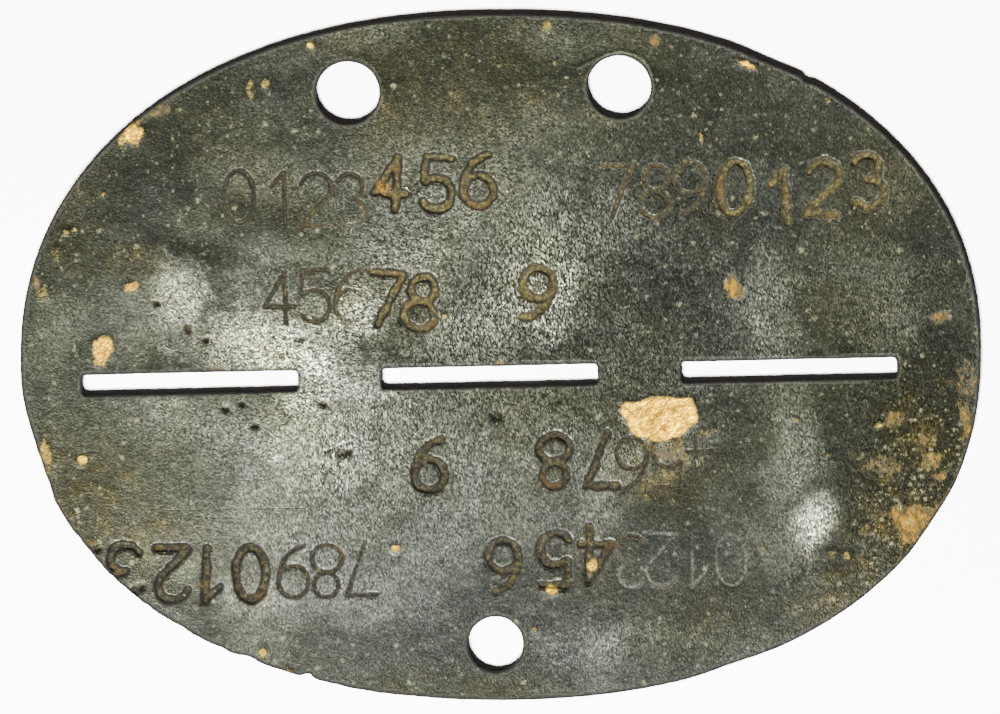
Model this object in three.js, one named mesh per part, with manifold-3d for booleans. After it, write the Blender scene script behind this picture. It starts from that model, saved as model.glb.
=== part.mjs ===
// An oval identification disc, punched from one piece of zinc sheet and lying with its stamped face up.
// It breaks in two along a row of three slots, and each half carries the same row of stamped figures,
// so the lower half reads upside down. Two holes take the neck cord and a third, in the lower half,
// takes a tie. The figures are plain running digits.
// Sizes are in millimetres. +X is to the right, +Y towards the cord holes and +Z out of the stamped face,
// and the origin is the centre of the oval on the back face.
import * as THREE from "three";
import { mergeVertices } from "three/addons/utils/BufferGeometryUtils.js";
import Module from "manifold-3d";

// The sheet
const LENGTH = 70;
const WIDTH = 50;
const THICKNESS = 1;
const OUTLINE_POWER = 2.19; // 2 would be an ellipse, and more fills out the shoulders
const EDGE_ROUND = 0.15; // how far the rim is rounded over, at both faces
const EDGE_WEAR = 0.3; // depth of the deepest flat or nick worn into the rim
const OUTLINE_POINTS = 120;

// The punched pattern sits a little off the centre of the oval and a little askew
const PUNCH_OFFSET_X = -0.8;
const PUNCH_OFFSET_Y = -1.4;
const PUNCH_TURN = 1.0; // degrees, anticlockwise
const HOLE_LIP = 0.1; // width of the rounded lip round every hole and slot

// Cord holes in the upper half
const CORD_HOLE_DIAMETER = 4.6;
const CORD_HOLE_SPACING = 19.8; // centre to centre
const CORD_HOLE_MARGIN = 5.5; // top of the oval to the line of the centres

// Tie hole in the lower half
const TIE_HOLE_DIAMETER = 4.0;
const TIE_HOLE_MARGIN = 4.1; // bottom of the oval to the centre
const HOLE_SIDES = 32;

// Break line: three slots that fill the length apart from the webs between and outside them
const SLOT_COUNT = 3;
const SLOT_WIDTH = 1.5;
const SLOT_WEB = 6.1;
const SLOT_END_WEB = 5.3;
const SLOT_CORNER = 0.25;
const CORNER_POINTS = 4;

// Stamped figures
const FIGURE_HEIGHT = 3.8;
const PUNCHES = {
  fine: { stroke: 0.34, depth: 0.16, floor: 0.3 }, // floor is the groove's floor as a share of its mouth
  bold: { stroke: 0.66, depth: 0.3, floor: 0.4 },
};
const CURVE_STEPS = 12; // steps in a full round of a figure
const CUT_CLEARANCE = 0.2; // how far a cutter stands past the face that it cuts

// Flats and nicks worn into the rim: bearing and spread are degrees round the oval, depth is a share of EDGE_WEAR
const RIM_WEAR = [
  { bearing: 194, spread: 24, depth: 1.0 },
  { bearing: 240, spread: 3, depth: 0.8 },
  { bearing: 248, spread: 2, depth: 0.9 },
  { bearing: 297, spread: 16, depth: 0.5 },
  { bearing: 333, spread: 16, depth: 0.4 },
  { bearing: 58, spread: 12, depth: 0.4 },
  { bearing: 52, spread: 2, depth: 0.7 },
];

// One row for each figure. along and across are its place in the upper half, from the middle of the break line and
// along the oval's own axes, as shares of half the length and half the width. lean is degrees anticlockwise. The
// lower half repeats each figure, turned half round, and shift, drop and tilt are how far that second blow strayed.
const FIGURES = [
  { figure: "0", punch: "fine", along: -0.52, across: 0.527, lean: 0, shift: 0.02, drop: 0.012, tilt: 2 },
  { figure: "1", punch: "fine", along: -0.43, across: 0.521, lean: 1, shift: 0.006, drop: 0.018, tilt: -1 },
  { figure: "2", punch: "fine", along: -0.36, across: 0.518, lean: 0, shift: 0.004, drop: 0.02, tilt: 0 },
  { figure: "3", punch: "fine", along: -0.289, across: 0.515, lean: 2, shift: -0.004, drop: 0.027, tilt: -3 },
  { figure: "4", punch: "bold", along: -0.205, across: 0.562, lean: -3, shift: -0.013, drop: -0.044, tilt: 2 },
  { figure: "5", punch: "bold", along: -0.108, across: 0.562, lean: -4, shift: -0.027, drop: -0.029, tilt: 3 },
  { figure: "6", punch: "bold", along: -0.022, across: 0.571, lean: 0, shift: -0.006, drop: -0.018, tilt: 4 },
  { figure: "7", punch: "fine", along: 0.266, across: 0.536, lean: 0, shift: 0.004, drop: 0.023, tilt: 2 },
  { figure: "8", punch: "fine", along: 0.347, across: 0.536, lean: -2, shift: -0.006, drop: 0.029, tilt: 0 },
  { figure: "9", punch: "fine", along: 0.42, across: 0.545, lean: 1, shift: -0.01, drop: 0.02, tilt: -2 },
  { figure: "0", punch: "bold", along: 0.512, across: 0.545, lean: -6, shift: -0.013, drop: 0.026, tilt: 8 },
  { figure: "1", punch: "bold", along: 0.612, across: 0.521, lean: 4, shift: -0.025, drop: 0.053, tilt: -6 },
  { figure: "2", punch: "bold", along: 0.695, across: 0.545, lean: -4, shift: -0.034, drop: 0.026, tilt: 4 },
  { figure: "3", punch: "bold", along: 0.788, across: 0.565, lean: 6, shift: -0.027, drop: -0.003, tilt: -10 },
  { figure: "4", punch: "fine", along: -0.437, across: 0.233, lean: 1, shift: -0.004, drop: 0.015, tilt: 0 },
  { figure: "5", punch: "fine", along: -0.364, across: 0.236, lean: 0, shift: -0.006, drop: 0.012, tilt: 1 },
  { figure: "6", punch: "fine", along: -0.289, across: 0.239, lean: -1, shift: -0.006, drop: 0.017, tilt: 2 },
  { figure: "7", punch: "bold", along: -0.216, across: 0.227, lean: -6, shift: -0.016, drop: 0.018, tilt: 6 },
  { figure: "8", punch: "bold", along: -0.142, across: 0.215, lean: -9, shift: 0.008, drop: 0.033, tilt: 9 },
  { figure: "9", punch: "bold", along: 0.098, across: 0.239, lean: -8, shift: 0.027, drop: 0.017, tilt: 4 },
];

const halfLength = LENGTH / 2;
const halfWidth = WIDTH / 2;
const radians = THREE.MathUtils.degToRad;
const ORIGIN = new THREE.Vector2(0, 0);

const wasm = await Module();
wasm.setup();

// Solids

function solidOf(geometry) {
  geometry.deleteAttribute("normal");
  geometry.deleteAttribute("uv");
  const merged = mergeVertices(geometry);
  const mesh = new wasm.Mesh({
    numProp: 3,
    vertProperties: new Float32Array(merged.attributes.position.array),
    triVerts: new Uint32Array(merged.index.array),
  });
  return new wasm.Manifold(mesh);
}

function geometryOf(solid) {
  const { vertProperties, triVerts } = solid.getMesh();
  const geometry = new THREE.BufferGeometry();
  geometry.setAttribute("position", new THREE.BufferAttribute(vertProperties, 3));
  geometry.setIndex(new THREE.BufferAttribute(triVerts, 1));
  const shaded = geometry.toNonIndexed();
  shaded.computeVertexNormals();
  return shaded;
}

// A closed solid through level rings of equal point counts, listed from the lowest up, each anticlockwise.
function loft(rings) {
  const count = rings[0].points.length;
  const positions = rings.flatMap(({ points, z }) => points.flatMap((p) => [p.x, p.y, z]));
  const indices = [];
  for (let ring = 0; ring + 1 < rings.length; ring++) {
    for (let i = 0; i < count; i++) {
      const a = ring * count + i;
      const b = ring * count + ((i + 1) % count);
      indices.push(a, b, b + count, a, b + count, a + count);
    }
  }
  const top = (rings.length - 1) * count;
  for (const [a, b, c] of THREE.ShapeUtils.triangulateShape(rings[0].points, [])) {
    indices.push(a, c, b);
  }
  for (const [a, b, c] of THREE.ShapeUtils.triangulateShape(rings.at(-1).points, [])) {
    indices.push(top + a, top + b, top + c);
  }
  const geometry = new THREE.BufferGeometry();
  geometry.setAttribute("position", new THREE.Float32BufferAttribute(positions, 3));
  geometry.setIndex(indices);
  return solidOf(geometry);
}

// A loop of points moved outwards by a distance, which is negative for inwards.
function offsetLoop(points, distance) {
  return points.map((point, i) => {
    const next = points[(i + 1) % points.length];
    const last = points.at(i - 1);
    const along = next.clone().sub(last).normalize();
    return new THREE.Vector2(point.x + along.y * distance, point.y - along.x * distance);
  });
}

// The sheet

// How deep the rim is worn at a bearing.
function rimWear(bearing) {
  return RIM_WEAR.reduce((deepest, wear) => {
    const away = Math.abs(((bearing - wear.bearing + 540) % 360) - 180);
    const share = away < wear.spread / 2 ? (1 + Math.cos((2 * Math.PI * away) / wear.spread)) / 2 : 0;
    return Math.max(deepest, share * wear.depth * EDGE_WEAR);
  }, 0);
}

// A point on the oval before any wear, a superellipse.
function ovalPoint(bearing) {
  const cos = Math.cos(radians(bearing));
  const sin = Math.sin(radians(bearing));
  const x = Math.sign(cos) * Math.abs(cos) ** (2 / OUTLINE_POWER) * halfLength;
  const y = Math.sign(sin) * Math.abs(sin) ** (2 / OUTLINE_POWER) * halfWidth;
  return new THREE.Vector2(x, y);
}

// Nicks get points of their own between the even ones, so that each keeps its shape.
function outlineBearings() {
  const even = Array.from({ length: OUTLINE_POINTS }, (_, i) => (360 * i) / OUTLINE_POINTS);
  const nicks = RIM_WEAR.filter((wear) => wear.spread <= 3).flatMap(({ bearing, spread }) => {
    return [-0.5, -0.25, 0, 0.25, 0.5].map((share) => bearing + share * spread);
  });
  const clear = even.filter((bearing) => nicks.every((nick) => Math.abs(nick - bearing) > 0.3));
  return [...clear, ...nicks].sort((a, b) => a - b);
}

function wornOval() {
  return outlineBearings().map((bearing) => {
    const point = ovalPoint(bearing);
    return point.setLength(point.length() - rimWear(bearing));
  });
}

function sheet() {
  const oval = wornOval();
  const face = offsetLoop(oval, -EDGE_ROUND);
  return loft([
    { points: face, z: 0 },
    { points: oval, z: EDGE_ROUND },
    { points: oval, z: THICKNESS - EDGE_ROUND },
    { points: face, z: THICKNESS },
  ]);
}

// Holes and slots

// A cutter through the sheet that widens at both faces to leave a rounded lip.
function throughCut(loop) {
  const flare = HOLE_LIP + CUT_CLEARANCE;
  return loft([
    { points: offsetLoop(loop, flare), z: -CUT_CLEARANCE },
    { points: loop, z: HOLE_LIP },
    { points: loop, z: THICKNESS - HOLE_LIP },
    { points: offsetLoop(loop, flare), z: THICKNESS + CUT_CLEARANCE },
  ]);
}

function circleLoop(x, y, diameter) {
  return Array.from({ length: HOLE_SIDES }, (_, i) => {
    const angle = (2 * Math.PI * i) / HOLE_SIDES;
    return new THREE.Vector2(x + (Math.cos(angle) * diameter) / 2, y + (Math.sin(angle) * diameter) / 2);
  });
}

// A rectangle with round corners, centred on (x, y).
function slotLoop(x, y, length, width) {
  const corner = Math.min(SLOT_CORNER, width / 2.2);
  const quarters = [
    { sx: 1, sy: 1, start: 0 },
    { sx: -1, sy: 1, start: Math.PI / 2 },
    { sx: -1, sy: -1, start: Math.PI },
    { sx: 1, sy: -1, start: (3 * Math.PI) / 2 },
  ];
  return quarters.flatMap(({ sx, sy, start }) => {
    return Array.from({ length: CORNER_POINTS }, (_, i) => {
      const angle = start + (Math.PI / 2) * (i / (CORNER_POINTS - 1));
      return new THREE.Vector2(
        x + sx * (length / 2 - corner) + Math.cos(angle) * corner,
        y + sy * (width / 2 - corner) + Math.sin(angle) * corner,
      );
    });
  });
}

// From the punched pattern's own axes to the disc's.
function placed(loop) {
  const turn = radians(PUNCH_TURN);
  return loop.map((point) => {
    const turned = point.clone().rotateAround(ORIGIN, turn);
    return turned.add(new THREE.Vector2(PUNCH_OFFSET_X, PUNCH_OFFSET_Y));
  });
}

function holeLoops() {
  const cordRow = halfWidth - CORD_HOLE_MARGIN - PUNCH_OFFSET_Y;
  const tieRow = -(halfWidth - TIE_HOLE_MARGIN) - PUNCH_OFFSET_Y;
  return [
    circleLoop(-CORD_HOLE_SPACING / 2, cordRow, CORD_HOLE_DIAMETER),
    circleLoop(CORD_HOLE_SPACING / 2, cordRow, CORD_HOLE_DIAMETER),
    circleLoop(0, tieRow, TIE_HOLE_DIAMETER),
  ];
}

function slotLoops() {
  const webs = (SLOT_COUNT - 1) * SLOT_WEB + 2 * SLOT_END_WEB;
  const length = (LENGTH - webs) / SLOT_COUNT;
  return Array.from({ length: SLOT_COUNT }, (_, i) => {
    const x = (i - (SLOT_COUNT - 1) / 2) * (length + SLOT_WEB);
    return slotLoop(x, 0, length, SLOT_WIDTH);
  });
}

// Figures, drawn one unit high about the origin

const HALF_BREADTH = 0.29;

const line = (...points) => ({ points: points.map(([x, y]) => new THREE.Vector2(x, y)), closed: false });

function arcPoints(cx, cy, rx, ry, from, to) {
  const steps = Math.max(3, Math.round((CURVE_STEPS * Math.abs(to - from)) / 360));
  return Array.from({ length: steps + 1 }, (_, i) => {
    const angle = radians(from + ((to - from) * i) / steps);
    return [cx + rx * Math.cos(angle), cy + ry * Math.sin(angle)];
  });
}

function ring(cx, cy, rx, ry) {
  const points = arcPoints(cx, cy, rx, ry, 0, 360).slice(0, -1);
  return { ...line(...points), closed: true };
}

const b = HALF_BREADTH;
const STROKES = {
  0: [ring(0, 0, b, 0.5)],
  1: [line([-0.7 * b, 0.24], [0.15 * b, 0.5]), line([0.15 * b, 0.5], [0.15 * b, -0.5])],
  2: [line(...arcPoints(0, 0.23, b, 0.27, 165, -35), [-b, -0.5]), line([-b, -0.5], [b, -0.5])],
  3: [line(...arcPoints(0, 0.26, 0.85 * b, 0.24, 150, -90)), line(...arcPoints(0, -0.24, b, 0.26, 90, -150))],
  4: [line([0.4 * b, -0.5], [0.4 * b, 0.5]), line([0.4 * b, 0.5], [-b, -0.18]), line([-b, -0.18], [b, -0.18])],
  5: [line([0.85 * b, 0.5], [-0.75 * b, 0.5], [-0.85 * b, 0.04]), line(...arcPoints(0, -0.19, b, 0.31, 140, -145))],
  6: [ring(0, -0.2, b, 0.3), line(...arcPoints(b, -0.2, 2 * b, 0.7, 180, 100))],
  7: [line([-b, 0.5], [b, 0.5]), line([b, 0.5], [-0.35 * b, -0.5])],
  8: [ring(0, 0.26, 0.8 * b, 0.24), ring(0, -0.24, b, 0.26)],
  9: [ring(0, 0.2, b, 0.3), line(...arcPoints(-b, 0.2, 2 * b, 0.7, 0, -80))],
};

// A groove cutter along a line of points. Its section is narrow at the floor and widens past the face.
function grooveCutter({ points, closed }, punch) {
  const mouth = punch.stroke / 2;
  const floor = mouth * punch.floor;
  const over = mouth + ((mouth - floor) * CUT_CLEARANCE) / punch.depth;
  const section = [
    { side: over, z: THICKNESS + CUT_CLEARANCE },
    { side: floor, z: THICKNESS - punch.depth },
    { side: -floor, z: THICKNESS - punch.depth },
    { side: -over, z: THICKNESS + CUT_CLEARANCE },
  ];
  const count = points.length;
  const positions = points.flatMap((point, i) => {
    const last = closed ? points.at(i - 1) : points[Math.max(i - 1, 0)];
    const next = closed ? points[(i + 1) % count] : points[Math.min(i + 1, count - 1)];
    const into = point.clone().sub(last).normalize();
    const out = next.clone().sub(point).normalize();
    const along = into.add(out).normalize();
    return section.flatMap(({ side, z }) => [point.x - along.y * side, point.y + along.x * side, z]);
  });
  const corners = section.length;
  const indices = [];
  const spans = closed ? count : count - 1;
  for (let i = 0; i < spans; i++) {
    for (let j = 0; j < corners; j++) {
      const a = i * corners + j;
      const c = i * corners + ((j + 1) % corners);
      const d = ((i + 1) % count) * corners + j;
      const e = ((i + 1) % count) * corners + ((j + 1) % corners);
      indices.push(a, e, c, a, d, e);
    }
  }
  if (!closed) {
    const end = (count - 1) * corners;
    indices.push(0, 1, 2, 0, 2, 3, end, end + 2, end + 1, end, end + 3, end + 2);
  }
  const geometry = new THREE.BufferGeometry();
  geometry.setAttribute("position", new THREE.Float32BufferAttribute(positions, 3));
  geometry.setIndex(indices);
  return solidOf(geometry);
}

// The cutters of one figure, (x, y) from the middle of the break line and turned by a number of degrees.
function figureCutters(figure, punch, x, y, turn) {
  const middle = new THREE.Vector2(PUNCH_OFFSET_X + x, PUNCH_OFFSET_Y + y);
  return STROKES[figure].map(({ points, closed }) => {
    const drawn = points.map((point) => {
      return point.clone().multiplyScalar(FIGURE_HEIGHT).rotateAround(ORIGIN, radians(turn)).add(middle);
    });
    return grooveCutter({ points: drawn, closed }, punch);
  });
}

function stampCutters() {
  return FIGURES.flatMap(({ figure, punch, along, across, lean, shift, drop, tilt }) => {
    const upper = [along * halfLength, across * halfWidth, lean];
    const lower = [-(along + shift) * halfLength, -(across + drop) * halfWidth, 180 + lean + tilt];
    return [
      ...figureCutters(figure, PUNCHES[punch], ...upper),
      ...figureCutters(figure, PUNCHES[punch], ...lower),
    ];
  });
}

// The disc
const cuts = [...[...holeLoops(), ...slotLoops()].map((loop) => throughCut(placed(loop))), ...stampCutters()];
const disc = cuts.reduce((solid, cut) => solid.subtract(cut), sheet());

const weatheredZinc = new THREE.MeshStandardMaterial({ color: 0x5a5c53, roughness: 0.5, metalness: 0.85 });
const discMesh = new THREE.Mesh(geometryOf(disc), weatheredZinc);
discMesh.name = "identity_disc";

const tag = new THREE.Group();
tag.add(discMesh);

export default tag;
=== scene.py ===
"""Looks of an oval identification disc, punched from zinc sheet and lying with its stamped face up.

The disc is one fine mesh: a stamped face, a plain back and the rounded rims between them. Its dents,
grooves, pits and crusts are in the mesh. What lies on the metal is kept in named vertex attributes,
which the material turns into patina, worn metal with a painted sheen, rust and sand at a finer scale,
and into painted shade on the rims and along the grooves' edges.
Lengths are in millimetres until the mesh is made.
"""

import math
from collections import namedtuple
from functools import partial, reduce
from types import SimpleNamespace

import bpy
import numpy as np
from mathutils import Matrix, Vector, geometry


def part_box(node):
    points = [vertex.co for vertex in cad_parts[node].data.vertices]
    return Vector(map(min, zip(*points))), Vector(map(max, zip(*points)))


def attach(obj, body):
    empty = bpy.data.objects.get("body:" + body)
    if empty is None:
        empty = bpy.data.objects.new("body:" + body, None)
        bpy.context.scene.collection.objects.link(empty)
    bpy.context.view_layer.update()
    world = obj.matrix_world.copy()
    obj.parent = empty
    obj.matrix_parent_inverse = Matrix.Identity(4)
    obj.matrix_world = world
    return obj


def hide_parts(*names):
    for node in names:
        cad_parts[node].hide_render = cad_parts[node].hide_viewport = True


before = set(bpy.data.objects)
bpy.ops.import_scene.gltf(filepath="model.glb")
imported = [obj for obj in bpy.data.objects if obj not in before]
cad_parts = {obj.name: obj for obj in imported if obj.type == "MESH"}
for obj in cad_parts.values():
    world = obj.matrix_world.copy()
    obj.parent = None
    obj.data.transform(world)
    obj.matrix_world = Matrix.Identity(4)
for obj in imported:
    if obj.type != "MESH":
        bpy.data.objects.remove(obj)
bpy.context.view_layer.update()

NODE = "identity_disc"
MM = 0.001

# The sheet, as the frame has it
lowest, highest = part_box(NODE)
LENGTH = (highest.x - lowest.x) / MM
WIDTH = (highest.y - lowest.y) / MM
THICKNESS = (highest.z - lowest.z) / MM
OUTLINE_POWER = 2.19
EDGE_WEAR = 0.3

# The punched pattern
PUNCH_OFFSET = np.array([-0.8, -1.4])
PUNCH_TURN = math.radians(1.0)
CORD_HOLE_DIAMETER = 4.6
CORD_HOLE_SPACING = 19.8
CORD_HOLE_MARGIN = 5.5
TIE_HOLE_DIAMETER = 4.0
TIE_HOLE_MARGIN = 4.1
SLOT_COUNT = 3
SLOT_WIDTH = 1.5
SLOT_WEB = 6.1
SLOT_END_WEB = 5.3
SLOT_CORNER = 0.25

# The photograph's frame
PHOTO_SIZE = (1000, 714)
PHOTO_CENTRE = (500.5, 357.3)
PHOTO_ROLL = math.radians(0.26)
MM_PER_PIXEL = 0.0728

# Mesh spacing
FACE_STEP = 0.24
BACK_STEP = 0.52
RIM_STEP = 0.25

# How dark the painted shade is on the border of each face, next to its rim
BORDER_SHADE_SHARE = 0.65

# Rims, from the face to the back. inset is into the sheet, and share is of the way up from the back
Rim = namedtuple("Rim", "inset share")
OUTER_RIM = [
    Rim(0.16, 1.0), Rim(0.09, 0.985), Rim(0.04, 0.95), Rim(0.01, 0.88), Rim(0.0, 0.75), Rim(0.0, 0.3),
    Rim(0.03, 0.1), Rim(0.1, 0.03), Rim(0.2, 0.0),
]
HOLE_RIM = [
    Rim(0.13, 1.0), Rim(0.07, 0.985), Rim(0.025, 0.94), Rim(0.0, 0.84), Rim(0.0, 0.2), Rim(0.04, 0.05),
    Rim(0.12, 0.0),
]

# Flats and nicks worn into the rim: bearing and spread in degrees, depth as a share of EDGE_WEAR
Wear = namedtuple("Wear", "bearing spread depth")
RIM_WEAR = [
    Wear(194, 24, 1.0), Wear(240, 3, 0.8), Wear(248, 2, 0.9), Wear(297, 16, 0.5), Wear(333, 16, 0.4),
    Wear(58, 12, 0.4), Wear(52, 2, 0.7),
]

# Punches. floor is the flat share of the groove, and fullest is the most dirt that it holds
FIGURE_HEIGHT = 3.8
Punch = namedtuple("Punch", "stroke depth floor lip fullest")
PUNCHES = {
    "fine": Punch(stroke=0.26, depth=0.16, floor=0.2, lip=0.0, fullest=0.8),
    "bold": Punch(stroke=0.62, depth=0.3, floor=0.4, lip=0.004, fullest=1.0),
}

# Stamped figures, which run from 0 to 9 again and again. along and across are shares of half the
# sheet, and lean is in degrees. On the lower half each has strayed by shift and drop and turned by
# tilt. upper and lower are how hard each blow was
Figure = namedtuple("Figure", "punch along across lean shift drop tilt upper lower")
FIGURES = [Figure(*row) for row in (
    ("fine", -0.52, 0.527, 0, 0.02, 0.012, 2, 0.8, 0.22),
    ("fine", -0.43, 0.521, 1, 0.006, 0.018, -1, 0.8, 0.25),
    ("fine", -0.36, 0.518, 0, 0.004, 0.02, 0, 0.75, 0.35),
    ("fine", -0.289, 0.515, 2, -0.004, 0.027, -3, 0.65, 0.5),
    ("bold", -0.205, 0.562, -3, -0.013, -0.044, 2, 1.0, 0.95),
    ("bold", -0.108, 0.562, -4, -0.027, -0.029, 3, 0.9, 1.0),
    ("bold", -0.022, 0.571, 0, -0.006, -0.018, 4, 0.85, 0.85),
    ("fine", 0.266, 0.536, 0, 0.004, 0.023, 2, 0.8, 0.7),
    ("fine", 0.347, 0.536, -2, -0.006, 0.029, 0, 0.85, 0.8),
    ("fine", 0.42, 0.545, 1, -0.01, 0.02, -2, 0.8, 0.9),
    ("bold", 0.512, 0.545, -6, -0.013, 0.026, 8, 0.95, 1.0),
    ("bold", 0.612, 0.521, 4, -0.025, 0.053, -6, 0.85, 0.9),
    ("bold", 0.695, 0.545, -4, -0.034, 0.026, 4, 0.8, 0.9),
    ("bold", 0.788, 0.565, 6, -0.027, -0.003, -10, 0.9, 1.0),
    ("fine", -0.437, 0.233, 1, -0.004, 0.015, 0, 0.8, 0.75),
    ("fine", -0.364, 0.236, 0, -0.006, 0.012, 1, 0.7, 0.8),
    ("fine", -0.289, 0.239, -1, -0.006, 0.017, 2, 0.55, 0.8),
    ("bold", -0.216, 0.227, -6, -0.016, 0.018, 6, 1.0, 0.9),
    ("bold", -0.142, 0.215, -9, 0.008, 0.033, 9, 0.95, 0.95),
    ("bold", 0.098, 0.239, -8, 0.027, 0.017, 4, 0.9, 0.95),
)]

# Marks on the face. px and py are read from the photograph in its pixels, sizes are in millimetres,
# and turn is in degrees from the length
Mark = namedtuple("Mark", "px py wide tall strength turn", defaults=[0])


def ovals(*rows):
    """A table of oval marks, from the values of each row."""
    return [Mark(*row) for row in rows]


SAND = ovals(
    (134, 135, 1.5, 1.4, 1), (122, 141, 0.7, 0.7, 0.8), (104, 350, 1.5, 2.3, 1, -15),
    (131, 287, 1.4, 0.7, 0.9, 20), (43, 293, 0.9, 1, 0.6), (66, 232, 0.6, 0.5, 0.7),
    (74, 230, 0.5, 0.5, 0.7), (56, 252, 0.7, 0.9, 0.5), (103, 195, 0.5, 0.5, 0.8),
    (46, 455, 0.9, 2, 0.75, 15), (82, 460, 0.8, 0.8, 0.85), (48, 470, 0.7, 0.9, 0.6),
    (92, 543, 1.2, 0.5, 0.45, -20), (262, 653, 0.6, 0.8, 0.9), (288, 672, 0.9, 0.4, 0.8, -15),
    (396, 549, 0.8, 0.6, 0.9, 20), (547, 26, 0.7, 0.9, 0.7), (555, 63, 0.5, 0.4, 0.6),
    (310, 45, 0.6, 0.7, 0.9), (250, 88, 0.6, 1.4, 0.65), (266, 84, 0.6, 0.9, 0.75, -30),
    (747, 65, 1.3, 0.5, 1, -20), (793, 82, 0.5, 0.3, 0.8, -20), (828, 101, 0.7, 0.4, 0.7, -30),
    (701, 138, 0.4, 0.9, 0.8), (446, 317, 0.7, 0.5, 0.6), (534, 629, 0.4, 0.4, 0.9),
    (593, 566, 0.9, 1, 0.8), (551, 590, 0.9, 0.9, 0.9), (647, 497, 0.7, 0.7, 0.6),
    (673, 500, 0.4, 0.4, 0.6), (795, 421, 0.5, 0.4, 0.6), (810, 427, 0.4, 0.4, 0.6),
    (879, 425, 0.7, 0.5, 0.7), (827, 455, 0.7, 0.5, 0.55), (757, 450, 0.35, 0.35, 0.55),
    (833, 462, 0.4, 0.3, 0.55), (866, 529, 0.8, 1, 0.5), (861, 540, 0.7, 0.6, 0.5),
    (832, 553, 0.8, 0.6, 0.6), (847, 556, 0.6, 0.7, 0.65), (951, 464, 0.6, 0.6, 0.5),
    (932, 459, 0.6, 0.9, 0.7), (968, 419, 0.6, 0.5, 0.5), (764, 549, 0.4, 0.5, 0.6),
    (831, 596, 0.4, 0.4, 0.6), (681, 673, 0.4, 0.4, 0.6), (660, 447, 3.2, 1, 0.45),
    (706, 432, 1.6, 0.5, 0.5, 15), (681, 444, 0.8, 0.9, 0.55), (72, 514, 0.35, 0.6, 0.55, 20),
    (77, 527, 0.5, 0.3, 0.5, -50),
)
RUST = ovals(
    (383, 186, 1.3, 1.1, 1, -30), (655, 41, 0.9, 0.9, 1), (732, 286, 1.2, 1.7, 1.3, 10),
    (940, 317, 1.5, 0.9, 0.85, -5), (212, 369, 1, 0.5, 1), (500, 363, 0.8, 0.5, 0.8),
    (188, 330, 0.5, 0.6, 0.9), (140, 336, 0.5, 0.5, 0.8), (159, 108, 2.4, 1.2, 0.6, 35),
    (137, 122, 1, 0.6, 0.9, 35), (36, 286, 0.8, 1.3, 0.7, 10), (120, 245, 0.5, 0.8, 0.5),
    (283, 421, 0.9, 0.4, 0.7, -10), (115, 418, 0.8, 0.6, 0.35), (593, 566, 1.3, 1.6, 0.7),
    (551, 588, 1.2, 1.5, 0.6), (662, 468, 4, 3.4, 0.45, 10), (668, 452, 4, 1.4, 0.6, 15),
    (705, 450, 1.2, 2.8, 0.5), (884, 466, 3.4, 1.8, 0.6, -10), (931, 460, 1.4, 1.4, 0.9),
    (942, 476, 1.6, 0.8, 0.8, 20), (966, 418, 1, 2.8, 0.8, 8), (925, 440, 2.2, 2, 0.5),
    (892, 420, 1.6, 1.2, 0.55), (206, 585, 1, 0.7, 0.6), (106, 576, 1.2, 1, 0.5, -20),
    (706, 660, 0.9, 0.8, 0.4), (90, 560, 0.8, 0.8, 0.5), (966, 382, 1.6, 3.4, 0.7, 5),
    (320, 107, 0.6, 1.2, 0.7, 20),
)
OLIVE = ovals(
    (925, 440, 9, 9, 0.66, 10), (915, 520, 9, 8, 0.8, 25), (865, 585, 11, 6, 0.62, 30),
    (870, 480, 5, 5, 0.45), (95, 505, 8, 9, 0.62, 20), (150, 540, 9, 7, 0.5), (205, 135, 10, 8, 0.3),
    (78, 215, 6, 10, 0.42, -15), (128, 258, 4.2, 2.6, 0.6, -15), (460, 85, 16, 11, 0.5),
    (545, 55, 4, 6, 0.35), (740, 110, 8, 8, 0.15), (880, 190, 7, 10, 0.4, -20), (850, 320, 8, 6, 0.35),
    (600, 100, 5, 4, 0.3), (700, 620, 9, 6, 0.35, 15), (460, 690, 16, 3, 0.35), (670, 490, 7, 4, 0.5),
    (590, 560, 5, 5, 0.3), (345, 315, 3, 4, 0.25),
)

# Larger crusts and stains with straighter sides, as the pixels of the photograph where their corners
# are. soft is the width of the border in millimetres
Patch = namedtuple("Patch", "soft strength pixels")
SAND_PIXELS = [
    (620, 407), (627, 402), (664, 396), (690, 398), (701, 414),
    (696, 426), (682, 438), (668, 442), (637, 440), (627, 433),
]
SCAB_PIXELS = [(893, 508), (926, 506), (941, 508), (930, 526), (915, 545), (903, 545), (893, 524)]
STAIN_PIXELS = [(866, 509), (893, 507), (896, 530), (882, 544), (866, 538)]
SAND_PATCHES = [Patch(0.22, 1.0, SAND_PIXELS)]
RUST_PATCHES = [Patch(0.6, 1.25, SCAB_PIXELS), Patch(1.2, 0.5, STAIN_PIXELS)]

# Where the metal is cooler and greyer, and where its grain is crispest
SLATE = ovals(
    (560, 630, 50, 18, 1), (700, 560, 26, 12, 0.7), (700, 300, 16, 22, 0.4),
    (180, 150, 16, 10, 0.3, 35),
)
GRITTY = ovals(
    (545, 320, 30, 18, 1), (380, 410, 26, 18, 0.6), (600, 640, 26, 7, 0.4), (905, 470, 11, 22, 1),
)
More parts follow.
